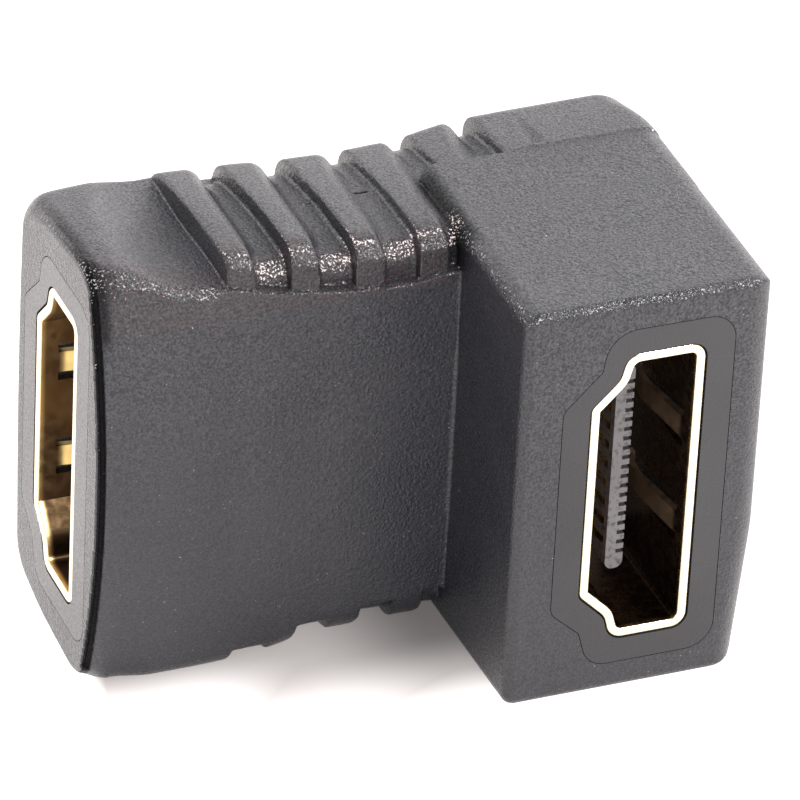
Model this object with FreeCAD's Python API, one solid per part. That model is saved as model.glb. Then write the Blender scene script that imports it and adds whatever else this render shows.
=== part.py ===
import FreeCAD, Part
import os
import math

V = FreeCAD.Vector
os.makedirs("parts", exist_ok=True)

# ---------------------------------------------------------------------------
# Right angle coupler with two 19 contact video receptacles (both sockets).
# Layout frame, millimetres:
#   origin  = centre of the mouth of port B, which opens towards -Y
#   +X      = along the arm, from port A (opens towards -X) to the block
#   +Y      = towards the back wall,  +Z = up (long side of both sockets)
# Every piece is moved by (SHIFT_X, SHIFT_Y, SHIFT_Z) at the end, so that the
# part's own origin is the middle of the foot print.
# ---------------------------------------------------------------------------

# --- outer body ------------------------------------------------------------
ARM_END = 23.30          # distance from the port B axis to the port A face
ARM_YC = 12.00           # crown of the arm's top and bottom
ARM_BACK = 18.25         # back wall
ARM_HALF = 10.893        # lowest point under the port B axis, near the port A end
BLOCK_L = 6.05           # block, left of the port B axis
BLOCK_R = 6.00           # block, right of the port B axis
BLOCK_TOP = 10.27        # half height of the block at its front face
BLOCK_DRAFT = 0.0255     # rise per mm of depth (moulding draft)
BLOCK_BACK = 13.25       # back edge of the block's flat top
EDGE_FRONT = 0.45        # rounding of the block's front face, left, top and bottom
EDGE_RIGHT = 1.30        # the same, right side
ARM_EDGE = (0.20, 0.50, 0.90)    # rounding of the port A face: front, top, back
ARM_RIGHT = (1.00, 1.80)         # rounding of the arm's other end: top, back

# --- grip: six ribs on the top and six on the bottom ------------------------
RIB_N = 6
RIB_X0 = -17.12          # steep left flank of the first rib on the top
RIB_X0_LOW = -17.60      # the same on the bottom
RIB_PITCH = 3.05
RIB_W = 1.88             # foot to foot
RIB_CREST = 1.35         # left flank to the end of the crest
LEDGE = [8.86, 8.39, 8.20, 8.45, 8.45]   # height of the ledge in front of each groove
LEDGE_LOW = [9.90, 9.20, 8.70, 8.50, 8.45]
# finger rest in front of the first rib: its floor (y, z) at the rib's flank,
# and how it rises towards the port A end (x, rise)
SCOOP = [(20.0, 9.20), (17.5, 9.38), (16.0, 9.42), (14.5, 9.38), (12.5, 9.42), (10.5, 9.54), (9.0, 9.55),
         (8.0, 9.48), (7.0, 9.30), (5.5, 8.95)]
SCOOP_LOW = [(20.0, 9.20), (17.5, 9.38), (16.0, 9.42), (14.5, 9.50), (12.5, 9.80), (10.5, 10.35), (9.0, 10.90),
             (8.0, 11.30), (7.0, 11.80), (5.5, 12.60)]
SCOOP_RISE = [(-23.0, 2.45), (-21.4, 1.38), (-19.6, 0.54), (-18.2, 0.16), (-17.0, 0.0)]

# --- sockets ----------------------------------------------------------------
PORT_A_Y = 12.30         # port A axis
SHELL_T = 0.45           # shell wall at the mouth
SHELL_U = 2.68           # half width, outside
SHELL_Z = 7.50           # half height, outside
SHELL_DEPTH = 10.60
MOUTH_GAP = 0.06         # relief round the rim, first part of the depth
MOUTH_GAP_DEPTH = 0.80
TONGUE_IN = 2.40         # tongue tip behind the mouth
TONGUE_T = 0.43          # half thickness
TONGUE_Z = 5.40          # half height
BLOCK_IN = 8.60          # front of the insulator's base
FINGER_Z = 2.50          # spring fingers, two on each broad side
FINGER_W = 1.05
FINGER_SLOT = 0.42
FINGER_IN = 0.90         # root behind the mouth
FINGER_OUT = 6.60

# --- contacts ---------------------------------------------------------------
PITCH = 0.50
CON_W = 0.34
CON_LO = 0.37            # inner face of a contact from the tongue's middle
CON_HI = 0.50            # outer face
CON_TIP = 2.75           # tip behind the mouth

# --- inner housing ----------------------------------------------------------
HOUSE_Z = 8.78
HOUSE_UB = 4.03
HOUSE_UA = 4.26
HOUSE_SPLIT = 1.25       # parting plane between body and cover

# --- board ------------------------------------------------------------------
PCB_T = 0.70
PCB_X0 = -12.50
PCB_X1 = 3.10
PCB_Z = 7.05

SHIFT_X = (ARM_END - BLOCK_R) / 2.0
SHIFT_Y = -ARM_BACK / 2.0
SHIFT_Z = ARM_HALF


# ---------------------------------------------------------------------------
# helpers
# ---------------------------------------------------------------------------
def lerp(table, x):
    """Value at x from a table of (x, value), smooth between its rows."""
    if x <= table[0][0]:
        return table[0][1]
    for (xa, va), (xb, vb) in zip(table, table[1:]):
        if x <= xb:
            s = (x - xa) / (xb - xa)
            s = s * s * (3 - 2 * s)
            return va + (vb - va) * s
    return table[-1][1]


def rounded(points, radii):
    """Straight runs and arcs through a polygon's corners, as 2D pieces."""
    n = len(points)
    cuts = []
    for i in range(n):
        px, pz = points[i]
        ax, az = points[i - 1]
        bx, bz = points[(i + 1) % n]
        da = math.hypot(ax - px, az - pz)
        db = math.hypot(bx - px, bz - pz)
        ua = ((ax - px) / da, (az - pz) / da)
        ub = ((bx - px) / db, (bz - pz) / db)
        cosf = max(-1.0, min(1.0, ua[0] * ub[0] + ua[1] * ub[1]))
        half = math.acos(cosf) / 2.0
        r = radii[i]
        if r <= 0 or abs(half - math.pi / 2) < 1e-4:
            cuts.append(((px, pz), None, (px, pz)))
            continue
        t = r / math.tan(half)
        h = r / math.sin(half)
        bi = (ua[0] + ub[0], ua[1] + ub[1])
        bl = math.hypot(*bi)
        bi = (bi[0] / bl, bi[1] / bl)
        mid = (px + bi[0] * (h - r), pz + bi[1] * (h - r))
        cuts.append(((px + ua[0] * t, pz + ua[1] * t), mid,
                     (px + ub[0] * t, pz + ub[1] * t)))
    return cuts


def wire_of(points, radii, place):
    cuts = rounded(points, radii)
    edges = []
    n = len(cuts)
    for i in range(n):
        a, m, b = cuts[i]
        if m is not None:
            edges.append(Part.Arc(place(*a), place(*m), place(*b)).toShape())
        c = cuts[(i + 1) % n][0]
        if math.hypot(c[0] - b[0], c[1] - b[1]) > 1e-5:
            edges.append(Part.LineSegment(place(*b), place(*c)).toShape())
    return Part.Wire(edges)


def offset(points, radii, d):
    """Polygon moved outwards by d (points run anticlockwise)."""
    n = len(points)
    out, rad = [], []
    for i in range(n):
        a, p, b = points[i - 1], points[i], points[(i + 1) % n]
        e1 = (p[0] - a[0], p[1] - a[1])
        e2 = (b[0] - p[0], b[1] - p[1])
        l1, l2 = math.hypot(*e1), math.hypot(*e2)
        n1 = (e1[1] / l1, -e1[0] / l1)
        n2 = (e2[1] / l2, -e2[0] / l2)
        cr = e1[0] * e2[1] - e1[1] * e2[0]
        k = d / (1 + n1[0] * n2[0] + n1[1] * n2[1])
        out.append((p[0] + (n1[0] + n2[0]) * k, p[1] + (n1[1] + n2[1]) * k))
        rad.append(max(0.04, radii[i] + (d if cr > 0 else -d)))
    return out, rad


def box(x0, x1, y0, y1, z0, z1):
    return Part.makeBox(x1 - x0, y1 - y0, z1 - z0, V(x0, y0, z0))


def solid_of(shape):
    shape = shape.removeSplitter()
    return shape.Solids[0] if len(shape.Solids) == 1 else shape


def flip(shape):
    return shape.mirror(V(0, 0, 0), V(0, 0, 1))


# ---------------------------------------------------------------------------
# the arm: lofted barrel section, waisted in the middle
# ---------------------------------------------------------------------------
FRONT = [(-23.3, 6.45), (-20, 6.70), (-16, 7.00), (-12, 7.20), (-6, 7.35), (6, 7.35)]
BULGE = [(-23.3, 0.0165), (-22, 0.0120), (-20, 0.0085), (-16, 0.005), (-8, 0.002), (0, 0.0)]
TOP = [(-23.3, 10.78), (-20, 10.90), (-17, 10.82), (-14, 10.68), (-11, 10.45), (-8.5, 10.38), (-6, 10.46),
       (-4, 10.56), (-2, 10.62), (0, 10.66), (6, 10.66)]
R_FRONT = [(-23.3, 1.45), (-22, 1.0), (-18, 0.95), (-16, 1.2), (-13, 1.5), (6, 1.6)]
R_FRONT_LOW = [(-23.3, 1.45), (-22, 1.0), (-18, 0.95), (-15, 1.2), (-12, 1.9), (6, 2.1)]
R_BACK = [(-23.3, 1.9), (-22, 1.4), (-2, 1.2), (6, 1.0)]
BACK = [(-23.3, 18.05), (-20, 18.12), (-2, 18.20), (6, ARM_BACK)]
CROWN = [(-6, 0.011), (-2, 0.013)]       # fall of the top behind CROWN_Y, per mm squared
CROWN_Y = [(-6, 9.0), (-2, 12.5)]
BACK_BULGE = 0.003
# the grooves' floor
FLOOR = [(-19, 9.80), (-14.6, 9.70), (-11.5, 9.58), (-8.5, 9.68), (-5.7, 9.88), (-2.8, 10.10), (1, 10.30)]
FLOOR_FRONT = 8.10
FLOOR_RF = 1.05
FLOOR_RB = 2.05


def inset(r, t):
    """How far a rounding of radius r draws the wall in at t mm from the end."""
    t = min(max(t, 0.0), r)
    return r - math.sqrt(max(r * r - (r - t) ** 2, 0.0))


def curve_round(walls, x, n=60):
    """Closed curve: front wall, back wall and top, with their corner radii."""
    f0, k, b0, kb, top, c, cy, rf, rf_low, rb = walls

    def field(y, z):
        a1 = (f0 + k * z * z) - y
        a2 = y - (b0 - kb * z * z)
        a3 = abs(z) - (top - c * max(0.0, y - cy) ** 2)

        def rnd(a, b, r):
            u, v = max(r + a, 0.0), max(r + b, 0.0)
            return min(-r, max(a, b)) + math.hypot(u, v)
        return max(rnd(a1, a3, rf if z > 0 else rf_low), rnd(a2, a3, rb))

    pts = []
    for i in range(n):
        th = 2 * math.pi * i / n
        # rays are closer together at the corners of the section
        th = th + 0.20 * math.sin(4 * th) / 4
        cy_, cz_ = math.cos(th), math.sin(th)
        lo, hi = 0.0, 30.0
        for _ in range(50):
            m = (lo + hi) / 2
            if field(ARM_YC + m * cy_, m * cz_) < 0:
                lo = m
            else:
                hi = m
        pts.append(V(x, ARM_YC + lo * cy_, lo * cz_))
    curve = Part.BSplineCurve()
    curve.interpolate(pts, True)
    return Part.Wire([curve.toShape()])


def arm_section(x):
    t, q = x + ARM_END, BLOCK_R - x
    return curve_round((lerp(FRONT, x) + inset(ARM_EDGE[0], t), lerp(BULGE, x),
                        lerp(BACK, x) - inset(ARM_EDGE[2], t) - inset(ARM_RIGHT[1], q), BACK_BULGE,
                        lerp(TOP, x) - inset(ARM_EDGE[1], t) - inset(ARM_RIGHT[0], q),
                        lerp(CROWN, x), lerp(CROWN_Y, x), lerp(R_FRONT, x), lerp(R_FRONT_LOW, x), lerp(R_BACK, x)), x)


def floor_section(x):
    return curve_round((FLOOR_FRONT, 0.0, lerp(BACK, x) + 0.5, BACK_BULGE, lerp(FLOOR, x), 0.016, 11.0,
                        FLOOR_RF, FLOOR_RF, FLOOR_RB), x)


xs = [-ARM_END, -23.25, -23.15, -23.0, -22.75, -22.4, -22.1, -21, -19.5, -18, -16, -14, -12, -10, -8.5, -7, -5.5, -4,
      -2, 0.5, 3.4, 4.2, 4.8, 5.3, 5.7, 5.92, BLOCK_R]
arm = Part.makeLoft([arm_section(x) for x in xs], True, True)

# the arm's right side leans in towards the bottom like the block's
lean = wire_of([(BLOCK_R, 14), (-30, 14), (-30, -14), (BLOCK_R - 0.60 * 11 / 7.27, -14), (BLOCK_R, -3.0)],
               [0, 0, 0, 0, 12.0], lambda u, w: V(u, -5, w))
arm = arm.common(Part.Face(lean).extrude(V(0, 40, 0)))

# the arm stays just below the block's flat top
plan = wire_of([(-BLOCK_L, -1), (BLOCK_R + 1, -1), (BLOCK_R + 1, BLOCK_BACK), (-BLOCK_L, BLOCK_BACK)],
               [0, 0, 0, 0.7], lambda u, w: V(u, w, 0))
cap = Part.Face(plan).extrude(V(0, 0, 15))
slope = Part.Face(wire_of([(-2, 0), (16, 0), (16, BLOCK_TOP + BLOCK_DRAFT * 16 - 0.05),
                           (-2, BLOCK_TOP - BLOCK_DRAFT * 2 - 0.05)], [0] * 4,
                          lambda u, w: V(-10, u, w))).extrude(V(20, 0, 0))
cap = cap.cut(slope)
arm = arm.cut(cap).cut(flip(cap))

floor_xs = [-19, -17, -15, -13, -11, -9, -7, -5, -3, -1, 1]
floor = Part.makeLoft([floor_section(x) for x in floor_xs], True, True)


def grip(x0, ledges, scoop):
    """Tools that cut the grooves and the finger rest of one side."""
    tools = []
    for i in range(RIB_N):
        xa = x0 + RIB_PITCH * i
        xb = xa + RIB_PITCH
        xm = (xa + RIB_W + xb) / 2
        lo, hi = lerp(FLOOR, xm), lerp(TOP, xm)
        if i < RIB_N - 1:
            ledge = ledges[i]
            prof = [(xa + RIB_W, ledge), (xb, ledge), (xb, lo), (xb + 0.12, hi), (xb + 0.20, 13.0),
                    (xa + RIB_CREST - 0.15, 13.0), (xa + RIB_CREST, hi), (xa + RIB_W - 0.10, lo + 0.06)]
            if lo - 0.2 > ledge:
                prof.append((xa + RIB_W, lo - 0.2))
            prism_ = Part.Face(wire_of(prof, [0] * len(prof), lambda u, w: V(u, 4.0, w))).extrude(V(0, 18, 0))
            tools.append(prism_.cut(floor))
        else:
            # shallow mark behind the last rib
            prof = [(xa + 1.80, hi - 0.22), (xa + 2.20, hi + 0.15), (xa + 1.25, hi + 0.15)]
            tools.append(Part.Face(wire_of(prof, [0] * 3, lambda u, w: V(u, 13.3, w))).extrude(V(0, 6, 0)))
    wires = []
    for x, rise in SCOOP_RISE:
        x = x + x0 - RIB_X0
        curve = Part.BSplineCurve()
        curve.interpolate([V(x, y, z + rise) for y, z in scoop])
        ya, yb = scoop[0][0], scoop[-1][0]
        za, zb = scoop[0][1] + rise, scoop[-1][1] + rise
        wires.append(Part.Wire([curve.toShape(),
                                Part.LineSegment(V(x, yb, zb), V(x, yb, 17)).toShape(),
                                Part.LineSegment(V(x, yb, 17), V(x, ya, 17)).toShape(),
                                Part.LineSegment(V(x, ya, 17), V(x, ya, za)).toShape()]))
    dish = Part.makeLoft(wires, True, False)
    wedge = Part.Face(wire_of([(x0 - 9, 7.5), (x0 - 0.05, 7.5), (x0 + 0.10, 13), (x0 - 9, 13)],
                              [0] * 4, lambda u, w: V(u, 0, w))).extrude(V(0, 24, 0))
    tools.append(dish.common(wedge))
    return tools


for c in grip(RIB_X0, LEDGE, SCOOP):
    arm = arm.cut(c)
for c in grip(RIB_X0_LOW, LEDGE_LOW, SCOOP_LOW):
    arm = arm.cut(flip(c))

# ---------------------------------------------------------------------------
# the block: drafted, rounded front, its flat top ends at BLOCK_BACK
# ---------------------------------------------------------------------------
def block_outline(y):
    # the right side leans in towards the bottom
    d, e = inset(EDGE_FRONT, y), inset(EDGE_RIGHT, y)
    z_half = BLOCK_TOP + BLOCK_DRAFT * y - d
    right, left = BLOCK_R - e, -BLOCK_L + d
    pts = [(right, z_half), (left, z_half), (left, -z_half), (right - 0.60, -z_half), (right, -3.0)]
    return wire_of(pts, [1.15 - 0.15 * e, 0.85, 0.6, max(1.3 - 0.5 * e, 0.6), 12.0], lambda u, w: V(u, y, w))


block = Part.makeLoft([block_outline(y) for y in (0, 0.02, 0.08, 0.18, 0.32, 0.45, 0.80, 1.30, BLOCK_BACK)], True, True)
corner = wire_of([(-BLOCK_L - 0.01, -1), (BLOCK_R + 1, -1), (BLOCK_R + 1, BLOCK_BACK), (-BLOCK_L - 0.01, BLOCK_BACK)],
                 [0, 0, 0, 0.7], lambda u, w: V(u, w, -15))
block = block.common(Part.Face(corner).extrude(V(0, 0, 30)))

outer = arm.fuse(block)

# ---------------------------------------------------------------------------
# socket profiles: (u, z), u points to the wide side
# ---------------------------------------------------------------------------
SOCKET = [(SHELL_U, -SHELL_Z), (SHELL_U, SHELL_Z), (-1.05, SHELL_Z), (-1.38, 6.25), (-SHELL_U, 4.95),
          (-SHELL_U, -4.95), (-1.38, -6.25), (-1.05, -SHELL_Z)]
SOCKET_R = [0.75, 0.75, 0.80, 0.90, 0.50, 0.50, 0.90, 0.80]
COLLAR = [(1.0, -1.0), (1.0, 1.0), (-0.485, 1.0), (-0.560, 0.780), (-1.0, 0.575),
          (-1.0, -0.635), (-0.640, -0.785), (-0.510, -1.0)]
COLLAR_R = [1.3, 1.3, 1.5, 0.25, 0.75, 0.75, 0.30, 1.2]


def place_a(depth):
    """(u, z) on port A, depth mm behind its mouth."""
    return lambda u, w: V(-ARM_END + depth, PORT_A_Y - u, w)


def place_b(depth):
    return lambda u, w: V(u, depth, w)


def prism(points, radii, place, d0, d1):
    a = place(d0)
    direction = place(d1)(0, 0) - a(0, 0)
    return Part.Face(wire_of(points, radii, a)).extrude(direction)


def collar(half_u):
    return [(u * half_u, w * HOUSE_Z) for u, w in COLLAR]


# inner housing: one solid form, split into body and cover
house_a = prism(collar(HOUSE_UA), COLLAR_R, place_a, 0.0, ARM_END + HOUSE_UB)
house_b = prism(collar(HOUSE_UB), COLLAR_R, place_b, 0.0, PORT_A_Y + 1.0)
house = house_a.fuse(house_b)
overmould = solid_of(outer.cut(house))

# hollow of the inner housing
hollow = []
for place in (place_a, place_b):
    hollow.append(prism(SOCKET, SOCKET_R, place, -1.0, SHELL_DEPTH))
    p, r = offset(SOCKET, SOCKET_R, MOUTH_GAP)
    hollow.append(prism(p, r, place, -1.0, MOUTH_GAP_DEPTH))
hollow.append(box(-ARM_END + SHELL_DEPTH - 0.01, PCB_X1 + 0.25, SHELL_DEPTH - 0.01, 14.0, -7.55, 7.55))
for h in hollow:
    house = house.cut(h)
half = box(HOUSE_SPLIT, 40, -5, 30, -15, 15)
housing_cover = solid_of(house.common(half))
housing_body = solid_of(house.cut(half))


# ---------------------------------------------------------------------------
# receptacles
# ---------------------------------------------------------------------------
def frame_box(place, u0, u1, d0, d1, z0, z1):
    """Box in the (u, depth, z) frame of a port."""
    pts = [(u0, z0), (u1, z0), (u1, z1), (u0, z1)]
    return prism(pts, [0] * 4, place, d0, d1)


def strip(place, profile, z0, z1):
    """(u, depth) polygon of a sheet piece, extruded from z0 to z1."""
    pts = [place(d)(u, z0) for u, d in profile]
    return Part.Face(Part.makePolygon(pts + [pts[0]])).extrude(V(0, 0, z1 - z0))


def shell(place, tails):
    inner, inner_r = offset(SOCKET, SOCKET_R, -SHELL_T)
    s = prism(SOCKET, SOCKET_R, place, 0.0, SHELL_DEPTH)
    s = s.cut(prism(inner, inner_r, place, -0.5, SHELL_DEPTH + 0.5))
    # rolled lip
    lips = [e for e in s.Edges if all(abs((v.Point - place(0)(0, 0)).dot(place(1)(0, 0) - place(0)(0, 0))) < 1e-6
                                      for v in e.Vertexes)]
    try:
        s = s.makeFillet(0.12, lips)
    except Exception:
        pass
    for side in (-1, 1):
        for zc in (-FINGER_Z, FINGER_Z):
            w = FINGER_W / 2 + FINGER_SLOT
            u0, u1 = sorted((side * (SHELL_U - SHELL_T - 0.3), side * (SHELL_U + 0.3)))
            s = s.cut(frame_box(place, u0, u1, FINGER_IN, FINGER_OUT, zc - w, zc + w))
    for side in (-1, 1):
        for zc in (-FINGER_Z, FINGER_Z):
            o, i = SHELL_U - 0.10, SHELL_U - SHELL_T
            prof = [(o, FINGER_IN - 0.25), (o, FINGER_IN + 0.30), (o - 0.50, FINGER_IN + 3.6),
                    (o - 0.42, FINGER_IN + 4.6), (o - 0.22, FINGER_OUT - 0.45),
                    (o - 0.47, FINGER_OUT - 0.45), (o - 0.68, FINGER_IN + 4.6), (o - 0.76, FINGER_IN + 3.6),
                    (i, FINGER_IN + 0.30), (i, FINGER_IN - 0.25)]
            prof = [(side * u, d) for u, d in prof]
            s = s.fuse(strip(place, prof, zc - FINGER_W / 2, zc + FINGER_W / 2))
    for t in tails:
        s = s.fuse(t)
    return solid_of(s)


def contact_rows():
    """(number, row side, z): odd numbers on the wide side."""
    rows = []
    for k in range(19):
        rows.append((k + 1, 1 if k % 2 == 0 else -1, (9 - k) * PITCH))
    return rows


pcb_lo, pcb_hi = PORT_A_Y - PCB_T / 2, PORT_A_Y + PCB_T / 2


def contact_a(side, z):
    # strip on the tongue; the tail lies on the board's edge
    tail = SHELL_DEPTH + 1.75
    prof = [(CON_LO, CON_TIP), (CON_LO, tail), (CON_HI, tail), (CON_HI, CON_TIP + 0.25), (CON_HI - 0.06, CON_TIP)]
    return strip(place_a, [(side * u, d) for u, d in prof], z - CON_W / 2, z + CON_W / 2)


def contact_b(side, z):
    # strip on the tongue; the tail is bent outwards on to a pad
    foot = pcb_lo
    prof = [(CON_LO, CON_TIP), (CON_LO, foot), (CON_LO + 1.25, foot), (CON_LO + 1.25, foot - 0.13),
            (CON_HI, foot - 0.13), (CON_HI, CON_TIP + 0.25), (CON_HI - 0.06, CON_TIP)]
    return strip(place_b, [(side * u, d) for u, d in prof], z - CON_W / 2, z + CON_W / 2)


def insulator(place, contacts):
    inner, inner_r = offset(SOCKET, SOCKET_R, -SHELL_T)
    base = prism(inner, inner_r, place, BLOCK_IN, SHELL_DEPTH - 0.05)
    t = prism([(TONGUE_T, -TONGUE_Z), (TONGUE_T, TONGUE_Z), (-TONGUE_T, TONGUE_Z), (-TONGUE_T, -TONGUE_Z)],
              [0.38] * 4, place, TONGUE_IN, BLOCK_IN + 0.2)
    base = base.fuse(t)
    tools = list(contacts)
    # core pin marks in the tongue's tip, one for each contact
    for k in range(19):
        z = (9 - k) * PITCH
        tools.append(frame_box(place, 0.06, TONGUE_T + 0.1, TONGUE_IN - 0.1, TONGUE_IN + 0.22, z - 0.11, z + 0.11))
    for c in tools:
        base = base.cut(c)
    return solid_of(base)


con_a = {n: contact_a(s, z) for n, s, z in contact_rows()}
con_b = {n: contact_b(s, z) for n, s, z in contact_rows()}
ins_a = insulator(place_a, con_a.values())
ins_b = insulator(place_b, con_b.values())

# shell tails: port B has four legs through the board, port A two ears
# that hold the board between them
legs = []
for side, z in ((1, 6.0), (1, -6.0), (-1, 4.0), (-1, -4.0)):
    u0, u1 = sorted((side * (SHELL_U - SHELL_T), side * SHELL_U))
    legs.append((u0, u1, z - 0.55, z + 0.55))
tails_b = [frame_box(place_b, u0, u1, SHELL_DEPTH - 0.2, pcb_hi + 0.4, z0, z1) for u0, u1, z0, z1 in legs]
tails_a = [frame_box(place_a, 0.2, 1.62, SHELL_DEPTH - 0.2, SHELL_DEPTH + 2.0, z0, z1)
           for z0, z1 in ((SHELL_Z - SHELL_T, SHELL_Z), (-SHELL_Z, -SHELL_Z + SHELL_T))]
tails_a += [frame_box(place_a, -0.35, 0.35, SHELL_DEPTH + 0.6, SHELL_DEPTH + 2.0, z0, z1)
            for z0, z1 in ((SHELL_Z - SHELL_T, SHELL_Z), (-SHELL_Z, -SHELL_Z + SHELL_T))]
shell_a = shell(place_a, tails_a)
shell_b = shell(place_b, tails_b)

# ---------------------------------------------------------------------------
# board
# ---------------------------------------------------------------------------
board = box(PCB_X0, PCB_X1, pcb_lo, pcb_hi, -PCB_Z, PCB_Z)
for u0, u1, z0, z1 in legs:
    board = board.cut(box(u0 - 0.12, u1 + 0.12, pcb_lo - 1, pcb_hi + 1, z0 - 0.12, z1 + 0.12))
board = solid_of(board)

# ---------------------------------------------------------------------------
# export
# ---------------------------------------------------------------------------
nodes = {
    "overmould": overmould,
    "inner_housing_body": housing_body,
    "inner_housing_cover": housing_cover,
    "circuit_board": board,
    "port_a_shell": shell_a,
    "port_a_insulator": ins_a,
    "port_b_shell": shell_b,
    "port_b_insulator": ins_b,
}
for n in range(1, 20):
    nodes["port_a_contact_%02d" % n] = con_a[n]
for n in range(1, 20):
    nodes["port_b_contact_%02d" % n] = con_b[n]

for name, shape in nodes.items():
    shape = shape.copy()
    shape.translate(V(SHIFT_X, SHIFT_Y, SHIFT_Z))
    nodes[name] = shape
    shape.exportStep("parts/%s.step" % name)
    if "contact" not in name:
        bb = shape.BoundBox
        print("%-22s valid %s solids %d vol %9.2f  x %.3f..%.3f y %.3f..%.3f z %.3f..%.3f" % (
            name, shape.isValid(), len(shape.Solids), shape.Volume,
            bb.XMin, bb.XMax, bb.YMin, bb.YMax, bb.ZMin, bb.ZMax))
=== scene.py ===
import bpy
import math
import numpy as np
from mathutils import Matrix, Vector


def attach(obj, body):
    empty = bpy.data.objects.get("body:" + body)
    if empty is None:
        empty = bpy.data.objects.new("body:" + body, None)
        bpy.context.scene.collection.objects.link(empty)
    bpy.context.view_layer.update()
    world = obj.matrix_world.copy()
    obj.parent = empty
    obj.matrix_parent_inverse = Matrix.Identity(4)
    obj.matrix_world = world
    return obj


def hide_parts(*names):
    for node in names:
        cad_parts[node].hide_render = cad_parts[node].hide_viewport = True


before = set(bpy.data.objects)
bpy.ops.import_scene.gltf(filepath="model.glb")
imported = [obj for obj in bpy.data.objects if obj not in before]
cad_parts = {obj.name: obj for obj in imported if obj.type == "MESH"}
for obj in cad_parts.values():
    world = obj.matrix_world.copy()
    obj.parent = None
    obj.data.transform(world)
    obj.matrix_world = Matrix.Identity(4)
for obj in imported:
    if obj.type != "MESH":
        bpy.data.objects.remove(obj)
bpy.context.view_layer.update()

MM = 0.001
# layout frame (origin at the middle of port B's mouth) to the part's frame, mm
SHIFT = np.array([8.65, -9.125, 10.893])

# ---------------------------------------------------------------------------
# shape functions, millimetres, layout frame
# ---------------------------------------------------------------------------
ARM_END = 23.30
PORT_A_Y = 12.30
BLOCK_BACK = 13.25
RIB_X0, RIB_X0_LOW, RIB_PITCH = -17.12, -17.60, 3.05
LEDGE_LOW = [9.90, 9.20, 8.70, 8.50, 8.45]
FRONT = [(-23.3, 6.45), (-20, 6.70), (-16, 7.00), (-12, 7.20), (-6, 7.35), (6, 7.35)]
BULGE = [(-23.3, 0.0165), (-22, 0.0120), (-20, 0.0085), (-16, 0.005), (-8, 0.002), (0, 0.0)]
TOP = [(-23.3, 10.78), (-20, 10.90), (-17, 10.82), (-14, 10.68), (-11, 10.45), (-8.5, 10.38), (-6, 10.46),
       (-4, 10.56), (-2, 10.62), (0, 10.66), (6, 10.66)]
R_FRONT = [(-23.3, 1.45), (-22, 1.0), (-18, 0.95), (-16, 1.2), (-13, 1.5), (6, 1.6)]
R_FRONT_LOW = [(-23.3, 1.45), (-22, 1.0), (-18, 0.95), (-15, 1.2), (-12, 1.9), (6, 2.1)]
R_BACK = [(-23.3, 1.9), (-22, 1.4), (-2, 1.2), (6, 1.0)]
BACK = [(-23.3, 18.05), (-20, 18.12), (-2, 18.20), (6, 18.25)]
CROWN = [(-6, 0.011), (-2, 0.013)]
CROWN_Y = [(-6, 9.0), (-2, 12.5)]
BACK_BULGE = 0.003
FLOOR = [(-19, 9.80), (-14.6, 9.70), (-11.5, 9.58), (-8.5, 9.68), (-5.7, 9.88), (-2.8, 10.10), (1, 10.30)]
SCOOP = [(5.5, 8.95), (7.0, 9.30), (8.0, 9.48), (9.0, 9.55), (10.5, 9.54), (12.5, 9.44), (14.5, 9.42),
         (16.0, 9.47), (17.5, 9.50), (20.0, 9.35)]
SCOOP_LOW = [(5.5, 12.60), (7.0, 11.80), (8.0, 11.30), (9.0, 10.90), (10.5, 10.35), (12.5, 9.80), (14.5, 9.50),
             (16.0, 9.42), (17.5, 9.38), (20.0, 9.20)]
SCOOP_RISE = [(-23.0, 2.40), (-21.4, 1.32), (-19.6, 0.45), (-18.2, 0.10), (-17.0, 0.0)]
# upper edge of the front panel; the ribs' fronts lie a little further back
LINE = [(-17.5, 9.60), (-15.9, 9.13), (-13.9, 8.71), (-11.5, 8.38), (-10.0, 8.28), (-8.2, 8.19), (-6.4, 8.43), (-5.0, 8.60)]


def tab(t, x):
    """Smooth steps between the rows of a table of (x, value)."""
    x = np.asarray(x, float)
    xs = np.array([a for a, b in t])
    vs = np.array([b for a, b in t])
    i = np.clip(np.searchsorted(xs, x, side="right") - 1, 0, len(xs) - 2)
    s = np.clip((x - xs[i]) / (xs[i + 1] - xs[i]), 0, 1)
    s = s * s * (3 - 2 * s)
    return vs[i] + (vs[i + 1] - vs[i]) * s


def curve(t, x):
    """Cubic curve through the rows of a table of (x, value)."""
    x = np.asarray(x, float)
    xs = np.array([a for a, b in t])
    vs = np.array([b for a, b in t])
    m = np.gradient(vs, xs)
    i = np.clip(np.searchsorted(xs, x, side="right") - 1, 0, len(xs) - 2)
    h = xs[i + 1] - xs[i]
    s = (x - xs[i]) / h
    s = np.clip(s, -0.4, 1.4)
    s2, s3 = s * s, s * s * s
    return ((2 * s3 - 3 * s2 + 1) * vs[i] + (s3 - 2 * s2 + s) * h * m[i]
            + (-2 * s3 + 3 * s2) * vs[i + 1] + (s3 - s2) * h * m[i + 1])


def rmax(a, b, r):
    """Intersection of two solids with a rounded edge of radius r."""
    return np.minimum(-r, np.maximum(a, b)) + np.hypot(np.maximum(r + a, 0), np.maximum(r + b, 0))


def rmin(a, b, r):
    """Union of two solids with a fillet of radius r."""
    return -rmax(-a, -b, r)


def step(a, b, x):
    s = np.clip((x - a) / (b - a), 0, 1)
    return s * s * (3 - 2 * s)


def block_half(y):
    return 10.27 + 0.0255 * y


def right_wall(z):
    """The right side leans in towards the bottom."""
    d = -3.0 - z
    s = np.where(d > 0.6, d, np.where(d < -0.6, 0.0, (d + 0.6) ** 2 / 2.4))
    return 6.0 - 0.0825 * s


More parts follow.
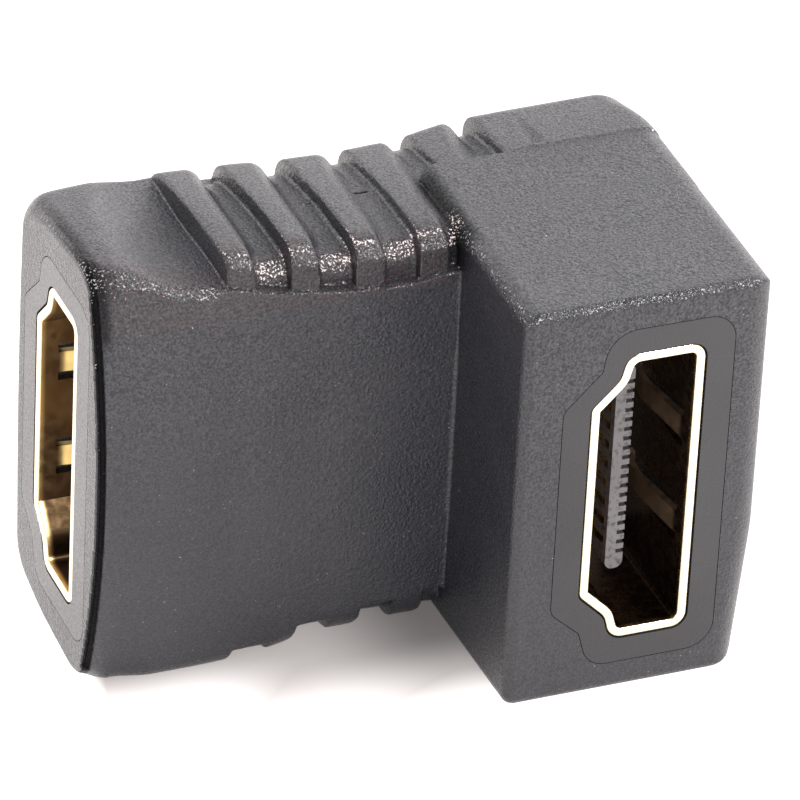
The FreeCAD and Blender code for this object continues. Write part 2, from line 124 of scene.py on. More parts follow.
def arm_field(x, y, z):
    k = tab(BULGE, x)
    front = (tab(FRONT, x) + k * z * z - y) / np.sqrt(1 + (2 * k * z) ** 2)
    back = y - (tab(BACK, x) - BACK_BULGE * z * z)
    top = tab(TOP, x) - tab(CROWN, x) * np.maximum(0, y - tab(CROWN_Y, x)) ** 2
    # below the block's flat top
    inside = rmax(-6.05 - x, y - BLOCK_BACK, 0.7)
    low = block_half(y) - 0.05
    top = np.where(inside < 0, np.minimum(top, low), top)
    lid = np.abs(z) - top
    rf = np.where(z > 0, tab(R_FRONT, x), tab(R_FRONT_LOW, x))
    f = np.maximum(rmax(front, lid, rf), rmax(back, lid, tab(R_BACK, x)))
    # the ribs' fronts
    k = y - tab(FRONT, x) - tab(BULGE, x) * z * z - 0.165
    cut = np.maximum(rmax(curve(LINE, np.clip(x, -17.5, -5.0)) - z, k, 0.03), np.maximum(RIB_X0 - 0.2 - x, x + 5.2))
    f = rmax(f, -cut, 0.06)
    f = rmax(f, -ARM_END - x, tab([(8.0, 0.07), (9.5, 0.4), (13.0, 0.5), (17.0, 0.9)], y))
    return rmax(f, x - right_wall(z), tab([(8.0, 1.0), (14.0, 1.0), (17.5, 1.8)], y))


def grip_field(f, x, y, z, x0, low, scoop):
    """Grooves and the finger rest cut into the solid f, on the side z > 0."""
    back = tab(BACK, x)
    lo, hi = tab(FLOOR, x), tab(TOP, x)
    lid = z - (lo + 0.14 - 0.021 * np.maximum(0, y - 11.0) ** 2)
    floor = np.maximum(rmax(8.10 - y, lid, 1.05), rmax(y - (back + 0.5 - BACK_BULGE * z * z), lid, 2.05))
    # one groove in each pitch, w is measured from its middle
    i = np.clip(np.round((x - x0 - 2.465) / RIB_PITCH), 0, 4).astype(int)
    w = x - x0 - 2.465 - RIB_PITCH * i
    ledge = np.array(LEDGE_LOW)[i] if low else curve(LINE, np.clip(x, -17.5, -5.0))
    up = (z - lo) / (hi - lo)
    # the ribs are steeper and narrower at the front
    rear = step(8.2, 9.8, y)
    crest, foot = 1.22 + 0.08 * rear - 2.465, 1.40 + 0.54 * rear - 2.465
    wl = foot + (crest - foot) * np.clip(up, -0.2, 2)
    wr = 0.585 + 0.09 * np.clip(up, 0, 2)
    a, b, d = wl - w, w - wr, -floor
    cut = np.maximum(rmax(a, d, 0.28), rmax(b, d, 0.12))
    cut = rmax(cut, ledge - z, 0.06)
    soft = 0.09 + (0.05 + 0.26 * rear) * step(0.5, -0.5, w)
    f = rmax(f, -cut, soft)
    # mark behind the last rib
    u = x - (x0 + RIB_PITCH * 5)
    mark = np.maximum(hi - 0.20 + 0.55 * np.abs(u - 1.80) - z, 13.6 - y)
    f = rmax(f, -mark, 0.10)
    # finger rest
    dish = curve(scoop, y) + curve(SCOOP_RISE, x - (x0 - RIB_X0)) - z
    wall = x - (x0 - 0.05 + 0.15 * (z - 7.5) / 5.5)
    cut = rmax(dish, wall, 0.07)
    near = step(x0 - 0.9, x0 - 0.1, x)
    return rmax(f, -cut, (0.55 - 0.33 * step(11.0, 14.5, y)) * (1 - 0.6 * near))


def block_field(x, y, z):
    left, right = -6.05 - x, x - right_wall(z)
    lid, face = np.abs(z) - block_half(y), -y
    o = np.maximum(rmax(left, lid, np.where(z > 0, 0.85, 0.6)), rmax(right, lid, np.where(z > 0, 1.15, 1.3)))
    o = np.maximum(rmax(o, face, 0.45), rmax(right, face, 1.30))
    return np.maximum(o, rmax(left, y - BLOCK_BACK, 0.7))


# collar outline, as in the construction
COLLAR = [(1.0, -1.0), (1.0, 1.0), (-0.485, 1.0), (-0.560, 0.780), (-1.0, 0.575),
          (-1.0, -0.635), (-0.640, -0.785), (-0.510, -1.0)]
COLLAR_R = [1.3, 1.3, 1.5, 0.25, 0.75, 0.75, 0.30, 1.2]


def outline(points, radii, steps=10):
    """Polygon with rounded corners as a dense closed polyline."""
    n, out = len(points), []
    for i in range(n):
        p = np.array(points[i])
        a, b = np.array(points[i - 1]) - p, np.array(points[(i + 1) % n]) - p
        a, b = a / np.linalg.norm(a), b / np.linalg.norm(b)
        half = math.acos(max(-1, min(1, a @ b))) / 2
        r = radii[i]
        c = p + (a + b) / np.linalg.norm(a + b) * r / math.sin(half)
        v0, v1 = p + a * r / math.tan(half) - c, p + b * r / math.tan(half) - c
        t0, t1 = math.atan2(v0[1], v0[0]), math.atan2(v1[1], v1[0])
        d = (t1 - t0 + math.pi) % (2 * math.pi) - math.pi
        for k in range(steps + 1):
            t = t0 + d * k / steps
            out.append(c + r * np.array([math.cos(t), math.sin(t)]))
    return np.array(out)


class Flat:
    """Signed distance to a closed polyline, on a fine table, read with bilinear steps."""

    def __init__(self, line, reach=1.2, pitch=0.02):
        lo, hi = line.min(0) - reach, line.max(0) + reach
        n = np.ceil((hi - lo) / pitch).astype(int) + 1
        u = lo[0] + pitch * np.arange(n[0])
        w = lo[1] + pitch * np.arange(n[1])
        U, W = np.meshgrid(u, w, indexing="ij")
        best = np.full(U.shape, 1e9)
        odd = np.zeros(U.shape, bool)
        for p, q in zip(line, np.roll(line, -1, axis=0)):
            e = q - p
            ll = e @ e
            if ll < 1e-12:
                continue
            s = np.clip(((U - p[0]) * e[0] + (W - p[1]) * e[1]) / ll, 0, 1)
            best = np.minimum(best, (U - p[0] - s * e[0]) ** 2 + (W - p[1] - s * e[1]) ** 2)
            if p[1] != q[1]:
                over = (p[1] > W) != (q[1] > W)
                odd ^= over & (U < e[0] * (W - p[1]) / (q[1] - p[1]) + p[0])
        best = np.sqrt(best)
        self.t, self.lo, self.pitch, self.n = np.where(odd, -best, best), lo, pitch, n

    def __call__(self, u, w):
        a = np.clip((u - self.lo[0]) / self.pitch, 0, self.n[0] - 1.001)
        b = np.clip((w - self.lo[1]) / self.pitch, 0, self.n[1] - 1.001)
        i, j = a.astype(int), b.astype(int)
        a, b = a - i, b - j
        t = self.t
        return (t[i, j] * (1 - a) * (1 - b) + t[i + 1, j] * a * (1 - b)
                + t[i, j + 1] * (1 - a) * b + t[i + 1, j + 1] * a * b)


COLLAR_A = Flat(outline([(u * 4.26, w * 8.78) for u, w in COLLAR], COLLAR_R))
COLLAR_B = Flat(outline([(u * 4.03, w * 8.78) for u, w in COLLAR], COLLAR_R))
SEAM = 0.035      # gap round the inner housing's collars


def core_field(x, y, z):
    """The inner housing's room."""
    a = np.maximum(COLLAR_A(PORT_A_Y - y, z), x - 4.03)
    b = np.maximum(COLLAR_B(x, z), y - 13.30)
    return np.minimum(a, b) - SEAM


def outer_field(x, y, z):
    f = arm_field(x, y, z)
    up = z > 0
    f = np.where(up, grip_field(f, x, y, z, RIB_X0, False, SCOOP),
                 grip_field(f, x, y, -z, RIB_X0_LOW, True, SCOOP_LOW))
    b = block_field(x, y, z)
    # fillet only where the arm's front meets the block's left side
    r = 0.10 * step(-4.5, -5.6, x) * step(12.6, 11.8, y) + 1e-4
    f = rmin(f, b, r)
    # undercut of the moulding skin behind the front edge of the port A face
    t = x + ARM_END
    k = tab(BULGE, x)
    wall = tab(FRONT, x) + k * z * z
    groove = np.hypot((t - 0.22) / 0.155, (y - wall + 0.02) / 0.26) - 1
    wide = 1.0 - step(9.6, 10.3, np.abs(z))
    f = np.maximum(f, -(groove * 0.155 + 0.3 * (1 - wide)))
    # mould joint across the groove floors
    for xa in (-11.05, -8.0):
        line = np.hypot((y - 13.15 - 0.03 * np.sin(3 * x)) / 0.045, np.maximum(np.abs(x - xa + 0.62) - 0.55, 0) / 0.045) - 1
        f = np.maximum(f, -np.maximum(line * 0.045, np.minimum(9.45 - z, 1.0)))
    return f


def body_field(x, y, z):
    return np.maximum(outer_field(x, y, z), -core_field(x, y, z))


def gradient(field, p, e=0.004):
    g = np.empty_like(p)
    for k in range(3):
        a, b = p.copy(), p.copy()
        a[:, k] += e
        b[:, k] -= e
        g[:, k] = (field(*a.T) - field(*b.T)) / (2 * e)
    return g


def pull(field, p, times, limit):
    """Moves points on to the surface field = 0."""
    for _ in range(times):
        v = field(*p.T)
        g = gradient(field, p)
        d = -v[:, None] * g / np.maximum((g * g).sum(1), 0.05)[:, None]
        n = np.linalg.norm(d, axis=1, keepdims=True)
        p = p + d * np.minimum(1, limit / np.maximum(n, 1e-12))
    return p


def nets(xs, ys, zs, outer, core):
    """Surface of outer minus core on a grid, its sharp seam kept sharp. Returns vertices and quads."""
    shape = (len(xs), len(ys), len(zs))
    F = np.empty(shape)
    FO = np.empty(shape, bool)
    FC = np.empty(shape, bool)
    chunk = 24
    for a in range(0, len(xs), chunk):
        X, Y, Z = np.meshgrid(xs[a:a + chunk], ys, zs, indexing="ij")
        o, c = outer(X, Y, Z), core(X, Y, Z)
        F[a:a + chunk] = np.maximum(o, -c)
        FO[a:a + chunk] = o < 0
        FC[a:a + chunk] = c < 0
    ins = F < 0

    def corners(m):
        return [m[i:shape[0] - 1 + i, j:shape[1] - 1 + j, k:shape[2] - 1 + k]
                for i in (0, 1) for j in (0, 1) for k in (0, 1)]

    def mixed(m):
        c = corners(m)
        s = sum(q.astype(np.int8) for q in c)
        return (s > 0) & (s < 8)

    active = mixed(ins)
    seam = active & mixed(FO) & mixed(FC)
    idx = np.full(active.shape, -1, np.int64)
    cells = np.argwhere(active)
    idx[active] = np.arange(len(cells))
    # start at the mean of the crossings of the cell's edges
    acc = np.zeros((len(cells), 3))
    cnt = np.zeros(len(cells))
    G = [xs, ys, zs]
    ci, cj, ck = cells.T
    for axis in range(3):
        for u in (0, 1):
            for w in (0, 1):
                o0 = [0, 0, 0]
                others = [q for q in range(3) if q != axis]
                o0[others[0]], o0[others[1]] = u, w
                o1 = list(o0)
                o1[axis] = 1
                f0 = F[ci + o0[0], cj + o0[1], ck + o0[2]]
                f1 = F[ci + o1[0], cj + o1[1], ck + o1[2]]
                cross = (f0 < 0) != (f1 < 0)
                t = np.where(cross, f0 / np.where(cross, f0 - f1, 1), 0)
                for q, cc in enumerate((ci, cj, ck)):
                    g = G[q]
                    p0 = g[cc + o0[q]]
                    p1 = g[cc + o1[q]]
                    acc[:, q] += np.where(cross, p0 + (p1 - p0) * t, 0)
                cnt += cross
    p = acc / cnt[:, None]
    quads = []
    for axis in range(3):
        sl0 = [slice(None)] * 3
        sl1 = [slice(None)] * 3
        sl0[axis] = slice(0, shape[axis] - 1)
        sl1[axis] = slice(1, shape[axis])
        a, b = ins[tuple(sl0)], ins[tuple(sl1)]
        e = np.argwhere(a != b)
        flip = a[tuple(e.T)]
        u, w = [q for q in range(3) if q != axis]
        c = []
        for du, dw in ((0, 0), (1, 0), (1, 1), (0, 1)):
            q = e.copy()
            q[:, u] -= 1 - du
            q[:, w] -= 1 - dw
            c.append(idx[q[:, 0], q[:, 1], q[:, 2]])
        c = np.stack(c, 1)
        if axis == 1:
            flip = ~flip
        c[~flip] = c[~flip][:, ::-1]
        quads.append(c)
    return p, np.concatenate(quads), seam[active]


def new_mesh(name, verts, faces):
    """verts in the layout frame, mm; faces with the same number of corners each."""
    v = (verts + SHIFT) * MM
    me = bpy.data.meshes.new(name)
    n, k = faces.shape
    me.vertices.add(len(v))
    me.vertices.foreach_set("co", v.ravel())
    me.loops.add(n * k)
    me.loops.foreach_set("vertex_index", faces.ravel().astype(np.int32))
    me.polygons.add(n)
    me.polygons.foreach_set("loop_start", np.arange(0, n * k, k, dtype=np.int32))
    me.update(calc_edges=True)
    me.validate()
    ob = bpy.data.objects.new(name, me)
    bpy.context.scene.collection.objects.link(ob)
    return ob


def applied(ob, name):
    """Replaces the object's mesh by the one its modifiers make."""
    dg = bpy.context.evaluated_depsgraph_get()
    me = bpy.data.meshes.new_from_object(ob.evaluated_get(dg))
    ob.modifiers.clear()
    old = ob.data
    ob.data = me
    me.name = name
    bpy.data.meshes.remove(old)
    return ob


# ---------------------------------------------------------------------------
# overmould
# ---------------------------------------------------------------------------
GRID = 0.15


def spaced(lo, hi):
    n = int(math.ceil((hi - lo) / GRID))
    return np.linspace(lo - 0.31, hi + 0.29, n + 4)


pts, quads, on_seam = nets(spaced(-23.3, 6.0), spaced(0.0, 18.25), spaced(-10.9, 10.9), outer_field, core_field)
pts = pull(body_field, pts, 3, GRID * 0.5)
edge = pts[on_seam]
for _ in range(8):
    edge = pull(outer_field, edge, 1, GRID)
    edge = pull(core_field, edge, 1, GRID)
moved = np.linalg.norm(edge - pts[on_seam], axis=1)
edge[moved > GRID * 1.5] = pts[on_seam][moved > GRID * 1.5]
pts[on_seam] = edge

overmould = new_mesh("overmould_skin", pts, quads)
LIMIT = 190000
count = 2 * len(quads)
if count > LIMIT:
    m = overmould.modifiers.new("few", "DECIMATE")
    m.ratio = LIMIT / count
    m.use_collapse_triangulate = True
    applied(overmould, "overmould_skin")
me = overmould.data
nv = len(me.vertices)
co = np.empty(nv * 3)
me.vertices.foreach_get("co", co)
co = co.reshape(-1, 3) / MM - SHIFT
loops = np.empty(len(me.loops), np.int32)
me.loops.foreach_get("vertex_index", loops)
ls = np.empty(len(me.polygons), np.int32)
lt = np.empty(len(me.polygons), np.int32)
cen = np.empty(len(me.polygons) * 3)
me.polygons.foreach_get("loop_start", ls)
me.polygons.foreach_get("loop_total", lt)
me.polygons.foreach_get("center", cen)
cen = cen.reshape(-1, 3) / MM - SHIFT
go = gradient(outer_field, co, 0.02)
gc = -gradient(core_field, co, 0.02)
go /= np.maximum(np.linalg.norm(go, axis=1, keepdims=True), 1e-9)
gc /= np.maximum(np.linalg.norm(gc, axis=1, keepdims=True), 1e-9)
inner = np.abs(core_field(*cen.T)) < np.abs(outer_field(*cen.T))
face_of_loop = np.repeat(np.arange(len(ls)), lt)
fn = np.empty(len(ls) * 3)
me.polygons.foreach_get("normal", fn)
fn = fn.reshape(-1, 3)[face_of_loop]
nl = np.where(inner[face_of_loop][:, None], gc[loops], go[loops])
bad = (nl * fn).sum(1) < 0.55
nl[bad] = fn[bad]
me.polygons.foreach_set("use_smooth", np.ones(len(ls), bool))
me.normals_split_custom_set(nl.tolist())
print("overmould", len(quads), "quads ->", len(ls), "faces,", int(bad.sum()), "corners flat")


# ---------------------------------------------------------------------------
# materials
# ---------------------------------------------------------------------------
class Net:
    """Small helper to build node materials."""

    def __init__(self, name):
        self.m = bpy.data.materials.new(name)
        self.m.use_nodes = True
        self.t = self.m.node_tree
        self.b = self.t.nodes["Principled BSDF"]
        self.co = self.t.nodes.new("ShaderNodeTexCoord").outputs["Object"]

    def node(self, kind, **kw):
        n = self.t.nodes.new(kind)
        for k, v in kw.items():
            setattr(n, k, v)
        return n

    def link(self, a, b):
        self.t.links.new(a, b)

    def put(self, sock, v):
        if isinstance(v, bpy.types.NodeSocket):
            self.link(v, sock)
        else:
            sock.default_value = v

    def noise(self, size_mm, detail=2.0, rough=0.5, at=None, dist=0.0):
        n = self.node("ShaderNodeTexNoise")
        self.link(at or self.co, n.inputs["Vector"])
        n.inputs["Scale"].default_value = 1000.0 / size_mm
        n.inputs["Detail"].default_value = detail
        n.inputs["Roughness"].default_value = rough
        n.inputs["Distortion"].default_value = dist
        return n.outputs["Fac"]

    def cells(self, size_mm, feature="F1", rand=1.0, out="Distance"):
        n = self.node("ShaderNodeTexVoronoi", feature=feature)
        self.link(self.co, n.inputs["Vector"])
        n.inputs["Scale"].default_value = 1000.0 / size_mm
        n.inputs["Randomness"].default_value = rand
        return n.outputs[out]

    def math(self, op, a, b=0.0, c=0.0, clamp=False):
        n = self.node("ShaderNodeMath", operation=op, use_clamp=clamp)
        for s, v in zip(n.inputs, (a, b, c)):
            self.put(s, v)
        return n.outputs[0]

    def ramp(self, v, a, b, lo=0.0, hi=1.0, smooth=True):
        n = self.node("ShaderNodeMapRange", interpolation_type="SMOOTHSTEP" if smooth else "LINEAR")
        for s, q in zip(n.inputs, (v, a, b, lo, hi)):
            self.put(s, q)
        return n.outputs[0]

    def mix(self, f, a, b):
        n = self.node("ShaderNodeMix", data_type="RGBA")
        self.put(n.inputs[0], f)
        self.put(n.inputs[6], a)
        self.put(n.inputs[7], b)
        return n.outputs[2]

    def bump(self, height, depth_mm, strength=1.0, base=None):
        n = self.node("ShaderNodeBump")
        self.put(n.inputs["Height"], height)
        n.inputs["Distance"].default_value = depth_mm * MM
        n.inputs["Strength"].default_value = strength
        if base is not None:
            self.link(base, n.inputs["Normal"])
        return n.outputs["Normal"]


def rgba(r, g, b):
    return (r, g, b, 1.0)


def plastic(name, base, light, rough, grain_mm, grain_depth, specks=0.0, body=False):
    n = Net(name)
    tone = n.noise(6.0, 3.0, 0.55)
    fine = n.noise(grain_mm * 2.2, 2.0, 0.6)
    col = n.mix(n.ramp(tone, 0.35, 0.68), base, light)
    col = n.mix(n.ramp(fine, 0.62, 0.80, 0.0, 0.25), col, rgba(light[0] * 1.7, light[1] * 1.7, light[2] * 1.7))
    if specks:
        d = n.cells(3.4, out="Distance")
        who = n.cells(3.4, out="Color")
        sep = n.node("ShaderNodeSeparateColor")
        n.link(who, sep.inputs[0])
        spot = n.math("MULTIPLY", n.ramp(d, 0.012, 0.020, 1.0, 0.0), n.ramp(sep.outputs[0], 1.0 - specks, 1.0 - specks + 0.02))
        col = n.mix(spot, col, rgba(0.55, 0.55, 0.56))
    if body:
        pos = n.node("ShaderNodeSeparateXYZ")
        n.link(n.co, pos.inputs[0])
        x, y, z = pos.outputs
        # reddish cast on the front's upper rounding
        warm = n.math("MULTIPLY", n.ramp(y, 0.0006, -0.0004), n.ramp(z, 0.0186, 0.0190))
        warm = n.math("MULTIPLY", warm, n.ramp(x, 0.0027, 0.0024))
        warm = n.math("MULTIPLY", warm, n.ramp(n.noise(0.16, 1.0, 0.5), 0.45, 0.62))
        col = n.mix(warm, col, rgba(0.020, 0.0115, 0.0125))
        # painted shade: the channel behind the front edge of the port A face, and a band on the top rounding beside it,
        # are painted near-black and their reflection is weakened
        t = n.math("MULTIPLY", n.ramp(x, -0.01461, -0.01457), n.ramp(x, -0.01422, -0.01430))
        t = n.math("MULTIPLY", t, n.ramp(y, 0.0045, -0.0005))
        painted_shade_top_band = n.math("MULTIPLY", n.ramp(x, -0.01450, -0.01435), n.ramp(x, -0.01365, -0.01415))
        painted_shade_top_band = n.math("MULTIPLY", painted_shade_top_band, n.math("MULTIPLY", n.ramp(z, 0.0180, 0.0190), n.ramp(y, 0.0090, 0.0020, 0.25, 0.75)))
        t = n.math("MAXIMUM", t, painted_shade_top_band)
        # painted shade also on the rounding of the block next to the last rib
        by = n.math("MULTIPLY", n.ramp(x, 0.0021, 0.0025), n.ramp(x, 0.0035, 0.0029))
        by = n.math("MULTIPLY", by, n.math("MULTIPLY", n.ramp(y, 0.0050, 0.0030), n.ramp(y, -0.0030, -0.0014)))
        by = n.math("MULTIPLY", by, n.ramp(z, 0.0185, 0.0200, 0.0, 0.88))
        t = n.math("MAXIMUM", t, by)
        # painted shade: the near-black colour laid over the masks above
        col = n.mix(t, col, rgba(0.003, 0.003, 0.0035))
        # painted glints: pale specks painted into the colour on the roundings between the top and the faces that look
        # forward or left
        nrm = n.node("ShaderNodeSeparateXYZ")
        n.link(n.node("ShaderNodeTexCoord").outputs["Normal"], nrm.inputs[0])
        nx, ny, nz = nrm.outputs
        edge = n.math("MULTIPLY", n.ramp(nz, 0.10, 0.50), n.ramp(nz, 0.98, 0.88))
        side = n.math("MULTIPLY", n.ramp(x, -0.0090, -0.0086), n.ramp(y, 0.0002, 0.0012))
        side = n.math("MULTIPLY", nx, n.ramp(side, 0.0, 1.0, -0.55, 0.0, False))
        fore = n.math("ADD", n.math("MULTIPLY", ny, -0.9), side)
        edge = n.math("MULTIPLY", edge, n.ramp(fore, 0.12, 0.45))
        # painted glints strongest and pinker on the front roundings of the groove floors
        deep = n.math("MULTIPLY", n.ramp(y, -0.00108, -0.00088), n.ramp(x, -0.0086, -0.0080))
        deep = n.math("MULTIPLY", n.math("MULTIPLY", deep, n.ramp(z, 0.0170, 0.0178)), edge)
        dense = n.ramp(n.noise(1.1, 2.0, 0.5), 0.30, 0.70, 0.655, 0.585)
        dense = n.math("ADD", dense, n.ramp(edge, 0.0, 1.0, 0.15, 0.0, False))
        dense = n.math("SUBTRACT", dense, n.math("MULTIPLY", deep, 0.055))
        painted_glint = n.ramp(n.math("SUBTRACT", n.noise(0.10, 1.0, 0.5), dense), 0.0, 0.06)
        col = n.mix(painted_glint, col, n.mix(deep, rgba(0.25, 0.238, 0.238), rgba(0.50, 0.435, 0.42)))
        level = n.ramp(n.noise(0.115, 2.0, 0.6), 0.32, 0.68, -0.30, 0.30)
        amp = n.math("MAXIMUM", n.ramp(nz, 0.3, 0.7), n.math("MULTIPLY", n.ramp(z, 0.007, 0.019), n.ramp(ny, -0.5, -0.8, 0.0, 0.6)))
        level = n.math("ADD", 0.51, n.math("MULTIPLY", level, n.ramp(amp, 0.0, 1.0, 0.32, 1.0, False)))
        level = n.math("MULTIPLY", level, n.ramp(edge, 0.0, 1.0, 1.0, 0.75, False))
        # the painted shade also takes most of the reflection away there
        n.link(n.math("MULTIPLY", level, n.ramp(t, 0.0, 1.0, 1.0, 0.08, False)), n.b.inputs["Specular IOR Level"])
    n.link(col, n.b.inputs["Base Color"])
    r = n.ramp(n.noise(grain_mm * 1.6, 2.0, 0.6), 0.25, 0.75, rough - 0.07, rough + 0.07)
    r = n.math("ADD", r, n.ramp(tone, 0.3, 0.7, -0.03, 0.03))
    n.link(r, n.b.inputs["Roughness"])
    n.b.inputs["IOR"].default_value = 1.5
    h1 = n.noise(grain_mm, 3.0, 0.62)
    h2 = n.cells(grain_mm * 1.5, "SMOOTH_F1")
    h = n.math("ADD", n.math("MULTIPLY", h1, 1.0), n.math("MULTIPLY", h2, 0.45))
    bump = n.bump(h, grain_depth)
    bump = n.bump(n.noise(1.7, 2.0, 0.5), 0.012, 1.0, bump)
    n.link(bump, n.b.inputs["Normal"])
    return n.m


MAT_OVER = plastic("overmould_pvc", rgba(0.0085, 0.0090, 0.0125), rgba(0.012, 0.0122, 0.0155), 0.275, 0.115, 0.058, 0.25, True)
MAT_HOUSE = plastic("housing_plastic", rgba(0.012, 0.0120, 0.0140), rgba(0.016, 0.0158, 0.0175), 0.28, 0.09, 0.012, 0.0)


def depth_in(n, ob, at, way):
    """Depth behind a port's mouth, place across it and height over its middle, in metres, and how far the
    surface faces up."""
    inv = ob.matrix_world.inverted()
    p = inv @ Vector([(v + q) * MM for v, q in zip(at, SHIFT)])
    out = []
    for d in (Vector(way), Vector(way).cross(Vector((0, 0, 1))), Vector((0, 0, 1))):
        d = (inv.to_3x3() @ d).normalized()
        dot = n.node("ShaderNodeVectorMath", operation="DOT_PRODUCT")
        n.link(n.co, dot.inputs[0])
        dot.inputs[1].default_value = d
        out.append(n.math("SUBTRACT", dot.outputs["Value"], p.dot(d)))
    dot = n.node("ShaderNodeVectorMath", operation="DOT_PRODUCT")
    n.link(n.node("ShaderNodeTexCoord").outputs["Normal"], dot.inputs[0])
    dot.inputs[1].default_value = d
    return out + [dot.outputs["Value"]]


PORT = {"a": ((-ARM_END, PORT_A_Y, 0.0), (1, 0, 0)), "b": ((0.0, 0.0, 0.0), (0, 1, 0))}


def gold(name, col, deep, rough, ob=None, port=None, inside=None, fingers=None):
    n = Net(name)
    tone = n.noise(2.5, 3.0, 0.6)
    c = n.mix(n.ramp(tone, 0.3, 0.7), col, deep)
    if ob is not None:
        d, lat, up, lift = depth_in(n, ob, *PORT[port])
        # painted highlight: paler colour at the lip; painted shade: darker colour with depth behind the mouth
        c = n.mix(n.ramp(d, 0.02 * MM, 0.14 * MM), rgba(0.80, 0.72, 0.54), rgba(0.66, 0.47, 0.20))
        c = n.mix(n.ramp(d, 0.10 * MM, 0.38 * MM), c, n.mix(n.ramp(tone, 0.3, 0.7), inside, rgba(*[v * 0.72 for v in inside[:3]])))
        # painted shade on the walls under the middle that face up, deeper in
        low = n.math("MULTIPLY", n.ramp(lift, 0.04, 0.22), n.ramp(d, 0.15 * MM, 0.45 * MM))
        c = n.mix(low, c, rgba(*[v * (0.08 if port == "a" else 0.55) for v in inside[:3]]))
        if fingers:
            off = n.math("ABSOLUTE", n.math("SUBTRACT", n.math("ABSOLUTE", up), 2.5 * MM))
            f_ = n.math("MULTIPLY", n.ramp(off, 0.56 * MM, 0.50 * MM), n.ramp(d, 0.9 * MM, 1.4 * MM))
            c = n.mix(f_, c, fingers)
    n.link(c, n.b.inputs["Base Color"])
    n.b.inputs["Metallic"].default_value = 1.0
    r = n.ramp(n.noise(0.5, 3.0, 0.6), 0.3, 0.7, rough - 0.05, rough + 0.08)
    if fingers:
        r = n.math("ADD", r, n.math("MULTIPLY", f_, 0.3))
    n.link(r, n.b.inputs["Roughness"])
    b = n.bump(n.noise(0.35, 2.0, 0.6), 0.003)
    n.link(b, n.b.inputs["Normal"])
    return n.m


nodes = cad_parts
# the inside colours, and port B's finger colour, are dimmed gold: painted shade inside the ports
MAT_SHELL = {
    "a": gold("gold_plating_a", rgba(0.95, 0.76, 0.42), rgba(0.86, 0.62, 0.27), 0.38, nodes["port_a_shell"], "a",
              rgba(0.250, 0.156, 0.080), rgba(1.0, 0.80, 0.36)),
    "b": gold("gold_plating_b", rgba(0.95, 0.76, 0.42), rgba(0.86, 0.62, 0.27), 0.24, nodes["port_b_shell"], "b",
              rgba(0.185, 0.118, 0.078), rgba(0.20, 0.138, 0.095)),
}
MAT_CONTACT = gold("contact_plating", rgba(0.50, 0.36, 0.17), rgba(0.36, 0.24, 0.10), 0.28)
MAT_TONGUE = plastic("tongue_plastic", rgba(0.095, 0.090, 0.092), rgba(0.135, 0.128, 0.131), 0.5, 0.12, 0.006, 0.0)


def marked(name, ob, port):
    """The tongue's plastic, with painted shade in the marks of its tip, and mottled."""
    m = MAT_TONGUE.copy()
    m.name = name
    n = Net("scratch")
    bpy.data.materials.remove(n.m)
    n.m, n.t = m, m.node_tree
    n.b = n.t.nodes["Principled BSDF"]
    n.co = n.t.nodes.new("ShaderNodeTexCoord").outputs["Object"]
    d, lat, up, lift = depth_in(n, ob, *PORT[port])
    # painted shade in the marks of the tip, together with random mottling
    dark = n.math("MULTIPLY", n.ramp(d, 2.41 * MM, 2.46 * MM), n.ramp(lat, -0.02 * MM, 0.04 * MM))
    dark = n.math("MAXIMUM", dark, n.ramp(n.noise(0.26, 2.0, 0.6), 0.50, 0.66, 0.0, 0.75))
    was = n.b.inputs["Base Color"].links[0].from_socket
    n.link(n.mix(dark, was, rgba(0.022, 0.020, 0.021)), n.b.inputs["Base Color"])
    return m


MAT_TIP = marked("tongue_plastic_b", nodes["port_b_insulator"], "b")


def board_material():
    n = Net("board_mask")
    weave = n.node("ShaderNodeTexWave", wave_type="BANDS")
    n.link(n.co, weave.inputs["Vector"])
    weave.inputs["Scale"].default_value = 900.0
    weave.inputs["Distortion"].default_value = 1.5
    c = n.mix(n.ramp(weave.outputs["Fac"], 0.3, 0.7), rgba(0.02, 0.13, 0.05), rgba(0.03, 0.20, 0.08))
    n.link(c, n.b.inputs["Base Color"])
    n.link(n.ramp(n.noise(1.2, 2.0), 0.3, 0.7, 0.25, 0.40), n.b.inputs["Roughness"])
    n.link(n.bump(n.noise(0.3, 2.0), 0.004), n.b.inputs["Normal"])
    return n.m


MAT_BOARD = board_material()


def paint(ob, mat):
    if not ob.material_slots:
        ob.data.materials.append(mat)
    for s in ob.material_slots:
        s.material = mat


paint(overmould, MAT_OVER)
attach(overmould, "root")
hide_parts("overmould")

for name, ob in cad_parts.items():
    if name == "overmould":
        continue
    if "contact" in name:
        paint(ob, MAT_CONTACT)
    elif "shell" in name:
        paint(ob, MAT_SHELL[name[5]])
    elif "insulator" in name:
        paint(ob, MAT_TIP if name[5] == "b" else MAT_TONGUE)
    elif name == "circuit_board":
        paint(ob, MAT_BOARD)
    else:
        paint(ob, MAT_HOUSE)

for name in ("inner_housing_body", "inner_housing_cover"):
    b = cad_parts[name].modifiers.new("edge", "BEVEL")
    b.width = 0.05 * MM
    b.segments = 2
    b.limit_method = "ANGLE"
    b.angle_limit = math.radians(40)
    b.harden_normals = True

# ---------------------------------------------------------------------------
# stage
# ---------------------------------------------------------------------------
scene = bpy.context.scene
floor_me = bpy.data.meshes.new("floor")
R = 1.2
floor_me.from_pydata([(-R, -R, 0), (R, -R, 0), (R, R, 0), (-R, R, 0)], [], [(0, 1, 2, 3)])
floor = bpy.data.objects.new("floor", floor_me)
scene.collection.objects.link(floor)
f = Net("floor_paper")
sep = f.node("ShaderNodeSeparateXYZ")
f.link(f.co, sep.inputs[0])
X, Y = sep.outputs[0], sep.outputs[1]
c = f.mix(f.ramp(f.noise(60.0, 2.0), 0.3, 0.7), rgba(0.385, 0.362, 0.353), rgba(0.400, 0.378, 0.369))
